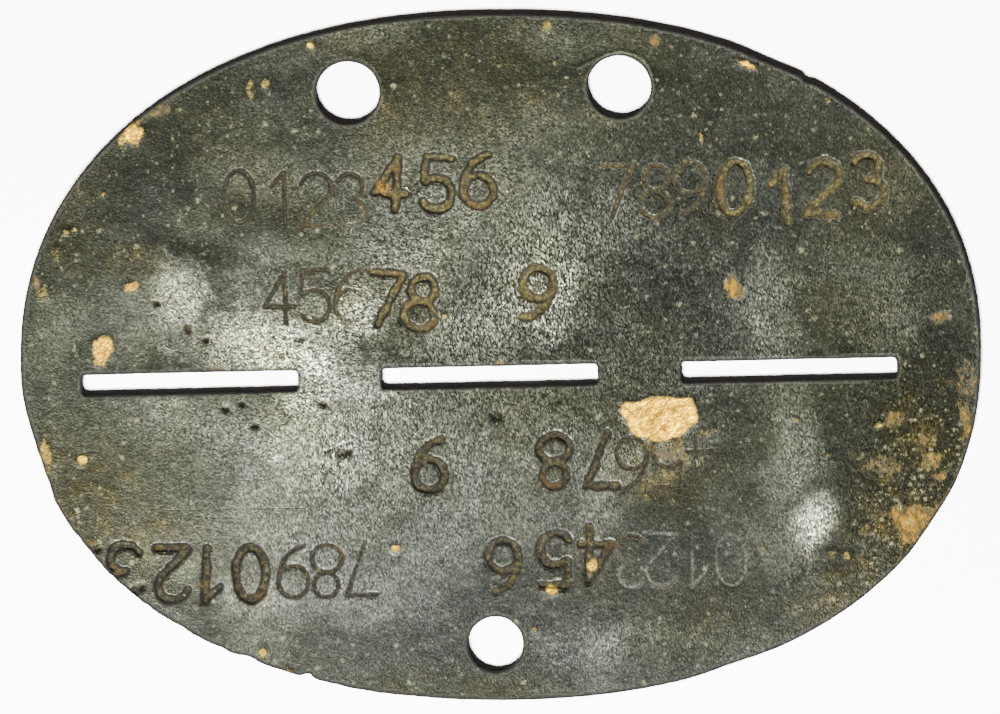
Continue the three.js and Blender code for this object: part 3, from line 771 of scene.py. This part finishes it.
class Disc:
    """The disc's vertices in millimetres, its faces and the marks at each vertex, as they are made."""

    def __init__(self):
        self.loops = [OUTLINE] + [hole_loop(hole) for hole in HOLES]
        self.profiles = [OUTER_RIM] + [HOLE_RIM] * len(HOLES)
        self.inward = [into_sheet(loop) for loop in self.loops]
        self.counts = [len(loop) for loop in self.loops]
        self.offsets = np.concatenate([[0], np.cumsum(self.counts)])
        self.vertices, self.triangles, self.quads = [], [], []
        self.marks = {name: [] for name in MARK_NAMES}
        top = self.add_face(0, fine_on_face, FACE_STEP, face_level)
        bottom = self.add_face(-1, fine_nowhere, BACK_STEP, back_level)
        for k in range(len(self.loops)):
            self.add_wall(k, top + self.offsets[k], bottom + self.offsets[k])

    def ring(self, k, rim):
        """One ring of a rim's profile, round the loop with this number."""
        return self.loops[k] + self.inward[k] * rim.inset

    def add(self, points, heights, found, rim_shade):
        """Adds vertices with their marks and painted rim shade, and gives the number of the first."""
        first = sum(len(part) for part in self.vertices)
        self.vertices.append(np.column_stack([points, heights]))
        rightward = waves(points, STREAK_WAVES, points[:, 0] - STREAK_SLANT * points[:, 1])
        found["rim"] = np.broadcast_to(rim_shade, len(points))
        found["streak"] = 1 - fade(rightward, *STREAK_BORDER)
        found["grit"] = marked(points, GRITTY, ZONE_SOFTNESS)
        for name in MARK_NAMES:
            self.marks[name].append(found[name])
        return first

    def add_face(self, side, fine, step, level):
        """Adds the face whose border is this end of each rim's profile."""
        borders = [self.ring(k, profile[side]) for k, profile in enumerate(self.profiles)]
        outer_inset, hole_inset = OUTER_RIM[side].inset, HOLE_RIM[side].inset
        inner = lattice(step, fine)
        inner = inner[rim_clear(inner, outer_inset, hole_inset, step * RIM_GAP)]
        points, triangles = triangulated(borders, inner, outer_inset, hole_inset)
        heights, found = level(points)
        on_border = np.arange(len(points)) < sum(self.counts)
        first = self.add(points, heights, found, np.where(on_border, BORDER_SHADE_SHARE, 0.0))
        upward = side == 0
        self.triangles.append(triangles[:, ::1 if upward else -1] + first)
        return first

    def add_wall(self, k, top_first, bottom_first):
        """Adds the rim round one loop, from its border on the face to its border on the back."""
        firsts = [top_first]
        for rim in self.profiles[k][1:-1]:
            points = self.ring(k, rim)
            top, top_marks = face_level(points)
            bottom, _ = back_level(points)
            rough = waves(points + rim.share * RING_SHIFT, WALL_WAVES) * (rim.share < ROUGH_BELOW)
            points = points + self.inward[k] * np.abs(rough)[:, None]
            heights = bottom + (top - bottom) * rim.share
            # Painted shade, deeper down the wall
            ring_shade = min(1.0, (1 - rim.share) * RIM_SHADE_DEEPENING)
            firsts.append(self.add(points, heights, top_marks, ring_shade))
        firsts.append(bottom_first)
        here = np.arange(self.counts[k])
        there = (here + 1) % self.counts[k]
        for upper, lower in zip(firsts[:-1], firsts[1:]):
            self.quads.append(np.column_stack([upper + here, lower + here, lower + there, upper + there]))


def linked(name, data):
    """A new object in the scene."""
    made = bpy.data.objects.new(name, data)
    bpy.context.scene.collection.objects.link(made)
    return made


def make_disc():
    """The disc as one object, with its marks as vertex attributes."""
    made = Disc()
    faces = np.vstack(made.triangles).tolist() + np.vstack(made.quads).tolist()
    mesh = bpy.data.meshes.new("zinc_disc")
    mesh.from_pydata((np.vstack(made.vertices) * MM).tolist(), [], faces)
    for name, values in made.marks.items():
        attribute = mesh.attributes.new(name, "FLOAT", "POINT")
        attribute.data.foreach_set("value", np.concatenate(values).astype(np.float32))
    mesh.polygons.foreach_set("use_smooth", np.ones(len(mesh.polygons), bool))
    mesh.update()
    if mesh.validate():
        raise ValueError("the disc's mesh had faces to repair")
    return linked("zinc_disc", mesh)


# Colours

KEY_BRIGHTNESS = 12.0
VIEW_KNEE = 0.75
RED_SHARE = 0.92
GREEN_SHARE = 1.02
RED_INTO_GREEN = 0.14
RED_INTO_BLUE = 0.07
LEAST = 0.012


def linear(channel):
    """The light that a channel of the 0 to 255 scale stands for."""
    share = channel / 255
    return share / 12.92 if share <= 0.04045 else ((share + 0.055) / 1.055) ** 2.4


def colour(red, green, blue):
    """The dull warm colour that looks like this one, in the photograph's 0 to 255 scale, under the key.

    The key is strong enough to whiten the floor, and Blender's view holds bright tones back and lets
    bright red bleed into the other channels.
    """
    shown = [linear(channel) for channel in (red, green, blue)]
    red, green, blue = (VIEW_KNEE * s / (1 - s) for s in shown)
    green *= GREEN_SHARE + RED_INTO_GREEN * red
    blue = max(blue - RED_INTO_BLUE * red**2, 0)
    return (*[(channel + LEAST) / KEY_BRIGHTNESS for channel in (red * RED_SHARE, green, blue)], 1)


# Shades of what lies on the metal: over which tones each takes over from the last, and its colour
LINING_SHADES = [(0, 0, (44, 38, 20)), (0.38, 0.54, (116, 102, 60)), (0.54, 0.7, (174, 158, 104))]
RUST_SHADES = [(0, 0, (62, 54, 26)), (0.34, 0.54, (146, 121, 64)), (0.52, 0.72, (208, 168, 50))]
SAND_SHADES = [(0, 0, (192, 156, 88)), (0.43, 0.52, (228, 193, 20)), (0.57, 0.65, (246, 226, 70))]
SPECK_SHADES = [(0, 0, (134, 127, 104)), (0.9, 1.25, (208, 200, 182))]
# The rims' colours are painted shade over the dark brown of a corroded edge
RIM_PAINTED_SHADES = [(0, 0, (8, 5, 4)), (0.4, 0.62, (26, 20, 13))]
LINING_ORANGE = (146, 106, 52)
# The grooves' edge colour is painted shade
GROOVE_EDGE_SHADE = (28, 22, 12)
THIN_SAND = (192, 178, 132)
PIT_BROWN = (60, 46, 26)

# Hue of the sheet where it is dark, worn with a painted sheen, cool, stained and glazed with rust
PATINA_TINT = (0.9, 1.0, 0.71, 1)
METAL_TINT = (0.95, 1.0, 0.71, 1)
SLATE_TINT = (0.93, 1.0, 0.86, 1)
OLIVE_TINT = (1.06, 0.97, 0.45, 1)
OCHRE_TINT = (1.4, 1.08, 0.26, 1)

# Brightness of the bare sheet, in stops: halvings or doublings
DARKEST = -6.38
# The wear mark brightens the sheet both as rubbed metal and as painted sheen
WEAR_AND_SHEEN_STOPS = 2.5
GRAIN_STOPS = 3.4
WORN_GRAIN_STOPS = 7.5
CRISP_STOPS = 2.0
WORN_CRISP_STOPS = 8.0
GRIT_SHARES = (0.6, 1.6)
BLOTCH_STOPS = 1.1
SPOT_STOPS = 1.0
PIT_STOPS = -2.2
# Painted shade along the grooves' walls
EDGE_SHADE_STOPS = -2.0
SHOULDER_STOPS = -0.7
# Painted highlight along lightly struck grooves, which also brightens the bright scrapes
GLEAM_STOPS = 0.9
OLIVE_STOPS = -0.4
GLAZE_STOPS = 0.5
BRIGHTEST = 0.9

# Patterns

# wave is in millimetres. The finer waves in it are detail, and rough is how strong they are
Noise = namedtuple("Noise", "wave detail rough", defaults=(2.0, 0.5))
BLOTCHES = Noise(1.3, 3.0, 0.55)
BROAD_TINT = Noise(7.0)
LINING_GRAIN = Noise(0.3, 4.0, 0.75)
LINING_GAPS = Noise(1.1)
LINING_HUE = Noise(1.7)
RUST_GRAIN = Noise(0.42, 4.0, 0.75)
SAND_GRAIN = Noise(0.13, 4.0, 0.8)
SAND_CLUMPS = Noise(0.7, 2.0, 0.6)

# The grain of the sheet: its way from the length, how far it is drawn out, and its soft and crisp sizes
Grain = namedtuple("Grain", "turn stretch soft crisp")
ACROSS = Grain(math.radians(150), 1.5, Noise(0.14, 3.0, 0.8), 0.09)
UPRIGHT = Grain(math.radians(98), 2.0, Noise(0.115, 3.0, 0.8), 0.085)
RUST_STRETCH = 1.7
FIBRE_TURN = math.radians(30)
FIBRE_STRETCH = 2.2

# Round spots and pits, and sizes of pale specks in millimetres with how far each covers the sheet
SPOT_WAVE = 0.55
PIT_WAVE = 0.7
SPECKS = [(0.24, 0.5), (0.36, 0.65), (0.55, 0.8)]

# Over what ways from a groove's rim, in millimetres, its parts fade
LINING_END = (-0.02, 0.07)
# The edge band is painted shade along each groove's walls
EDGE_SHADE_START = (-0.16, -0.06)
EDGE_SHADE_END = (0.02, 0.12)
SHOULDER_END = (0.06, 0.2)
# The gleam is a painted highlight
GLEAM_END = (-0.12, 0.02)

# Bump, in millimetres for a full swing of each pattern
GRAIN_RELIEF = 0.02
BLOTCH_RELIEF = 0.03
PIT_RELIEF = -0.012
SAND_RELIEF = 0.09
LINING_RELIEF = 0.05

# Gloss
METAL_SHARE = 0.9
PATINA_ROUGHNESS = 0.3
WORN_ROUGHNESS = 0.46
CRUST_ROUGHNESS = 0.95
SPECULAR = 0.1


class Nodes:
    """Short calls that add nodes to a new material and join them."""

    def __init__(self, name):
        self.material = bpy.data.materials.new(name)
        self.material.use_nodes = True
        self.tree = self.material.node_tree
        self.shader = self.tree.nodes["Principled BSDF"]

    def put(self, node, inputs):
        """Sets a node's inputs, or joins them to other nodes."""
        for name, value in inputs.items():
            if isinstance(value, bpy.types.NodeSocket):
                self.tree.links.new(value, node.inputs[name])
            else:
                node.inputs[name].default_value = value

    def finish(self, inputs):
        self.put(self.shader, inputs)
        return self.material

    def add(self, kind, output, inputs, **settings):
        """Adds a node with these inputs and settings, and gives one of its outputs."""
        node = self.tree.nodes.new(kind)
        for name, value in settings.items():
            setattr(node, name, value)
        self.put(node, inputs)
        return node.outputs[output]

    def mark(self, name):
        return self.add("ShaderNodeAttribute", "Fac", {}, attribute_name=name)

    def places(self, stretch=1.0, turn=0.0):
        """Places on the disc in millimetres. What is drawn on them is stretched along a turned axis."""
        own = self.add("ShaderNodeTexCoord", "Object", {})
        inputs = {"Vector": own, "Scale": (stretch * MM, MM, MM), "Rotation": (0, 0, turn)}
        return self.add("ShaderNodeMapping", "Vector", inputs, vector_type="TEXTURE")

    def noise(self, places, kind):
        inputs = {"Scale": 1 / kind.wave, "Detail": kind.detail, "Roughness": kind.rough}
        return self.add("ShaderNodeTexNoise", "Fac", {"Vector": places, **inputs})

    def cells(self, places, wave):
        """Cells of random sizes: the way from the middle of each, and its own random value."""
        inputs = {"Vector": places, "Scale": 1 / wave}
        node = self.add("ShaderNodeTexVoronoi", "Distance", inputs).node
        return node.outputs["Distance"], node.outputs["Color"]

    def math(self, operation, first, second=0.0):
        return self.add("ShaderNodeMath", 0, {0: first, 1: second}, operation=operation)

    def times(self, *values):
        return reduce(partial(self.math, "MULTIPLY"), values)

    def sum(self, *values):
        return reduce(partial(self.math, "ADD"), values)

    def most(self, *values):
        return reduce(partial(self.math, "MAXIMUM"), values)

    def swing(self, value, gain=1.0, middle=0.5):
        """How far value is from its middle, times gain."""
        return self.times(self.math("SUBTRACT", value, middle), gain)

    def rise(self, value, low, high, top=1.0, bottom=0.0):
        """From bottom where value is under low to top where it is over high, smoothly."""
        inputs = {"Value": value, "From Min": low, "From Max": high, "To Min": bottom, "To Max": top}
        return self.add("ShaderNodeMapRange", "Result", inputs, interpolation_type="SMOOTHSTEP")

    def fall(self, value, low, high, top=1.0):
        """From top where value is under low to 0 where it is over high, smoothly."""
        return self.rise(value, low, high, 0.0, top)

    def mix(self, share, first, second):
        """A colour between two."""
        return self.add("ShaderNodeMix", 2, {0: share, 6: first, 7: second}, data_type="RGBA")

    def blend(self, share, first, second):
        """A number between two."""
        return self.add("ShaderNodeMix", 0, {0: share, 2: first, 3: second})

    def shaded(self, tone, shades):
        """A colour for each tone."""
        shown = colour(*shades[0][-1])
        for low, high, rgb in shades[1:]:
            shown = self.mix(self.rise(tone, low, high), shown, colour(*rgb))
        return shown


# What the layers of the zinc share: places on it, its marks, its soft and crisp grain, its blotches
Base = namedtuple("Base", "places mark grain grains blotches")
Grooves = namedtuple("Grooves", "grain lining edge shoulder gleam")


def sheet_base(n):
    """What every layer of the zinc is worked out from."""
    mark = SimpleNamespace(**{name: n.mark(name) for name in MARK_NAMES})
    across, upright = n.places(ACROSS.stretch, ACROSS.turn), n.places(UPRIGHT.stretch, UPRIGHT.turn)
    grain = n.blend(mark.streak, n.noise(across, ACROSS.soft), n.noise(upright, UPRIGHT.soft))
    crisp = [n.cells(across, ACROSS.crisp)[1], n.cells(upright, UPRIGHT.crisp)[1]]
    places = n.places()
    return Base(places, mark, grain, n.mix(mark.streak, *crisp), n.noise(places, BLOTCHES))


def groove_parts(n, base):
    """How much of each spot is groove lining, painted edge shade, shoulder or a light blow's painted
    highlight.
    """
    mark, force = base.mark, base.mark.force
    grain = n.noise(base.places, LINING_GRAIN)
    ragged = n.sum(mark.groove, n.swing(grain, 0.3))
    lining = n.times(n.fall(ragged, *LINING_END), n.rise(force, 0.3, 0.6))
    lining = n.times(lining, n.rise(n.noise(base.places, LINING_GAPS), 0.3, 0.5, 1.0, 0.75))
    # Painted shade along the groove's walls
    edge_shade_way = n.sum(mark.groove, n.swing(base.grain, 0.3))
    edge = n.times(n.fall(edge_shade_way, *EDGE_SHADE_END), n.rise(edge_shade_way, *EDGE_SHADE_START))
    edge = n.times(edge, n.rise(force, 0.3, 0.9), n.rise(mark.streak, 0.3, 0.9, 0.5, 1.0))
    shoulder = n.times(n.fall(mark.groove, *SHOULDER_END, 0.9), n.rise(force, 0.4, 0.9))
    shoulder = n.times(shoulder, n.rise(mark.wear, 0.2, 0.5))
    # Painted highlight along the grooves of light blows, where they hold little dirt
    hardly = n.times(n.fall(force, 0.35, 0.6), n.fall(mark.fill, 0.5, 0.8))
    gleam = n.times(n.fall(n.sum(ragged, n.swing(base.grain, 0.4)), *GLEAM_END), hardly)
    return Grooves(grain, lining, edge, shoulder, gleam)


def pits(n, base):
    """How much of each spot is a pit or a dark scratch."""
    middle_way, chance = n.cells(base.places, PIT_WAVE)
    pit = n.math("LESS_THAN", middle_way, n.rise(chance, 0.5, 1.0, 0.2))
    scratch = n.fall(base.mark.scratch, -0.02, 0.05)
    return n.most(n.times(pit, base.mark.wear), base.mark.pitted, n.times(scratch, 0.4))


def bare_sheet(n, base, grooves, pit):
    """The colour of the metal and its patina, with painted sheen, painted shade along grooves and painted
    highlights.
    """
    mark, wear, grain, blotches = base.mark, base.mark.wear, base.grain, base.blotches
    soft_gain = n.blend(wear, GRAIN_STOPS, WORN_GRAIN_STOPS)
    crisp_gain = n.times(n.blend(wear, CRISP_STOPS, WORN_CRISP_STOPS), n.blend(mark.grit, *GRIT_SHARES))
    middle_way, chance = n.cells(base.places, SPOT_WAVE)
    spot = n.fall(n.sum(middle_way, n.swing(grain, 1.2)), 0.1, 0.4)
    # Painted highlight on light blows, and brighter along the bright scrapes
    gleam = n.most(n.fall(mark.scrape, -0.06, 0.04), grooves.gleam)
    olive_share = n.times(mark.olive, n.rise(blotches, 0.3, 0.6, 1.0, 0.45))
    stained = n.sum(mark.olive, mark.rust, n.swing(blotches, 2.0), n.swing(grain, 1.5))
    glaze = n.rise(stained, 0.5, 1.6, 0.9)
    stops = n.sum(
        DARKEST,
        n.times(wear, WEAR_AND_SHEEN_STOPS),
        n.times(n.swing(grain), soft_gain),
        n.times(n.swing(base.grains), crisp_gain),
        n.swing(blotches, BLOTCH_STOPS),
        n.times(spot, n.rise(chance, 0.5, 0.9), SPOT_STOPS),
        n.times(pit, PIT_STOPS),
        n.times(grooves.edge, EDGE_SHADE_STOPS),
        n.times(grooves.shoulder, SHOULDER_STOPS),
        n.times(gleam, GLEAM_STOPS),
        n.times(olive_share, OLIVE_STOPS),
        n.times(glaze, GLAZE_STOPS),
    )
    broad_tint = n.noise(base.places, BROAD_TINT)
    slate_share = n.sum(n.fall(broad_tint, 0.3, 0.5, 0.3), n.times(mark.slate, 0.7))
    tint = n.mix(wear, PATINA_TINT, METAL_TINT)
    tint = n.mix(n.rise(broad_tint, 0.45, 0.7, 0.3), tint, OLIVE_TINT)
    tint = n.mix(slate_share, tint, SLATE_TINT)
    tint = n.mix(olive_share, tint, OLIVE_TINT)
    tint = n.mix(glaze, tint, OCHRE_TINT)
    gain = n.math("MINIMUM", n.math("POWER", 2.0, stops), BRIGHTEST)
    return n.add("ShaderNodeVectorMath", "Vector", {"Vector": tint, "Scale": gain}, operation="SCALE")


def lined(n, base, grooves, surface):
    """The surface with the grooves' lining of dirt and rust on it, and painted shade along their edges.
    """
    tone = n.sum(grooves.grain, n.swing(base.mark.fill, 0.18, 0.75), n.swing(base.grains, 0.12))
    orange = n.rise(n.noise(base.places, LINING_HUE), 0.58, 0.68, 0.35)
    lining = n.mix(orange, n.shaded(tone, LINING_SHADES), colour(*LINING_ORANGE))
    # Painted shade along the grooves' edges, over the lining
    lining = n.mix(n.times(grooves.edge, 0.85), lining, colour(*GROOVE_EDGE_SHADE))
    return n.mix(grooves.lining, surface, lining)


def rusted(n, base, surface):
    """The surface with rust on it, from thin stains to tan scabs, and how far it covers."""
    rust = base.mark.rust
    grain = n.noise(n.places(RUST_STRETCH, UPRIGHT.turn), RUST_GRAIN)
    share = n.rise(n.sum(rust, n.swing(grain, 3.0), n.swing(base.blotches, 1.6)), 0.15, 1.2)
    share = n.times(share, n.rise(rust, 0.0, 0.8))
    tone = n.sum(grain, n.swing(base.grains, 0.2), n.swing(rust, 0.16, 0.7))
    return n.mix(share, surface, n.shaded(tone, RUST_SHADES)), share


def specked(n, base, surface):
    """The surface with pale specks on it, most of them where it is stained, and how far they cover."""
    mark = base.mark
    stained = n.times(n.most(n.rise(mark.olive, 0.2, 0.8, 0.8), n.rise(mark.rust, 0.2, 1.0, 0.6)), 0.36)
    stained = n.most(stained, n.rise(mark.wear, 0.15, 0.5, 0.05, 0.15))
    shares = []
    for wave, most in SPECKS:
        middle_way, random = n.cells(base.places, wave)
        chance = n.sum(random, stained)
        size = n.rise(chance, 0.8, 1.14, 0.4)
        ragged = n.sum(middle_way, n.swing(base.grain, 2.4), n.swing(base.grains, 0.2))
        shares.append(n.rise(n.math("SUBTRACT", size, ragged), 0.0, 0.26, most))
        surface = n.mix(shares[-1], surface, n.shaded(chance, SPECK_SHADES))
    return surface, n.most(*shares)


def sanded(n, base, surface):
    """The surface with sandy crusts on it, how far they cover, and their fibrous grain."""
    sand = base.mark.sand
    grain = n.noise(n.places(FIBRE_STRETCH, FIBRE_TURN), SAND_GRAIN)
    share = n.rise(n.sum(sand, n.swing(grain, 2.0)), 0.42, 0.62)
    share = n.times(share, n.rise(sand, 0.2, 1.0, 1.0, 0.3))
    clumps = n.noise(base.places, SAND_CLUMPS)
    tone = n.sum(grain, n.swing(clumps, 0.35), n.swing(sand, 0.2, 0.75))
    crust = n.mix(n.fall(sand, 0.55, 1.05, 0.85), n.shaded(tone, SAND_SHADES), colour(*THIN_SAND))
    return n.mix(share, surface, crust), share, grain


def weathered_zinc():
    """Dark grey-green zinc, rubbed bright with painted sheen in places, with crusts, rust, lined grooves
    and painted shade.
    """
    n = Nodes("weathered_zinc")
    base = sheet_base(n)
    mark = base.mark
    grooves = groove_parts(n, base)
    pit = pits(n, base)
    surface = bare_sheet(n, base, grooves, pit)
    surface = lined(n, base, grooves, surface)
    surface, rust = rusted(n, base, surface)
    surface, specks = specked(n, base, surface)
    surface, sand, sand_grain = sanded(n, base, surface)
    surface = n.mix(n.times(mark.pitted, 0.8), surface, colour(*PIT_BROWN))
    # Painted shade on the rims and on the faces' borders, over a dark corroded edge
    surface = n.mix(mark.rim, surface, n.shaded(base.blotches, RIM_PAINTED_SHADES))
    rim_shade_start = n.rise(mark.rim, 0.0, 0.3)
    covered = n.most(sand, rust, grooves.lining, grooves.edge, grooves.shoulder, rim_shade_start, specks)
    roughness = n.blend(mark.wear, PATINA_ROUGHNESS, WORN_ROUGHNESS)
    relief = n.sum(
        n.times(base.grain, GRAIN_RELIEF),
        n.times(base.blotches, BLOTCH_RELIEF),
        n.times(pit, PIT_RELIEF),
        n.times(sand_grain, sand, SAND_RELIEF),
        n.times(grooves.grain, grooves.lining, LINING_RELIEF),
    )
    return n.finish({
        "Base Color": surface,
        "Metallic": n.blend(covered, METAL_SHARE, 0.0),
        "Roughness": n.blend(covered, roughness, CRUST_ROUGHNESS),
        "Specular IOR Level": SPECULAR,
        "Normal": n.add("ShaderNodeBump", "Normal", {"Strength": 1.0, "Distance": MM, "Height": relief}),
    })


# Scene

FLOOR_SIZE = 3.0
FLOOR_COLOUR = (0.92, 0.92, 0.92, 1)
FLOOR_ROUGHNESS = 0.9
CAMERA_HEIGHT = 0.32
SENSOR_WIDTH = 36.0
WORLD_COLOUR = (1.0, 0.86, 0.76, 1)
WORLD_STRENGTH = 0.04
KEY_DISTANCE = 0.55
KEY_DIRECTION = Vector((-0.22, -0.6, 1.0))
KEY_SIZE = (0.14, 0.08)
KEY_POWER = 44.0


def make_floor():
    """A pale square under the disc."""
    half = FLOOR_SIZE / 2
    corners = [(-half, -half, 0), (half, -half, 0), (half, half, 0), (-half, half, 0)]
    mesh = bpy.data.meshes.new("floor")
    mesh.from_pydata(corners, [], [(0, 1, 2, 3)])
    look = {"Base Color": FLOOR_COLOUR, "Roughness": FLOOR_ROUGHNESS, "Specular IOR Level": SPECULAR}
    mesh.materials.append(Nodes("floor_white").finish(look))
    floor = linked("floor", mesh)


def make_lights():
    """One soft lamp above and below left of the disc, and a faint warm surround."""
    world = bpy.data.worlds.new("studio")
    world.use_nodes = True
    background = world.node_tree.nodes["Background"]
    background.inputs["Color"].default_value = WORLD_COLOUR
    background.inputs["Strength"].default_value = WORLD_STRENGTH
    bpy.context.scene.world = world
    key = bpy.data.lights.new("key", "AREA")
    key.shape = "RECTANGLE"
    key.size, key.size_y = KEY_SIZE
    key.energy = KEY_POWER
    lamp = linked("key", key)
    lamp.location = KEY_DIRECTION.normalized() * KEY_DISTANCE
    lamp.rotation_mode = "QUATERNION"
    lamp.rotation_quaternion = KEY_DIRECTION.to_track_quat("Z", "Y")


def make_camera():
    """Straight above the disc, a little off its centre and a little rolled, as in the photograph."""
    width = PHOTO_SIZE[0] * MM_PER_PIXEL * MM
    distance = CAMERA_HEIGHT - THICKNESS * MM
    camera = bpy.data.cameras.new("camera")
    camera.sensor_width = SENSOR_WIDTH
    camera.lens = SENSOR_WIDTH * distance / width
    seen = linked("camera", camera)
    middle = at_pixel(PHOTO_SIZE[0] / 2, PHOTO_SIZE[1] / 2) * MM
    seen.location = (middle[0], middle[1], CAMERA_HEIGHT)
    seen.rotation_euler = (0, 0, -PHOTO_ROLL)
    bpy.context.scene.camera = seen


disc = make_disc()
disc.data.materials.append(weathered_zinc())
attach(disc, "root")
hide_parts(NODE)
make_floor()
make_lights()
make_camera()
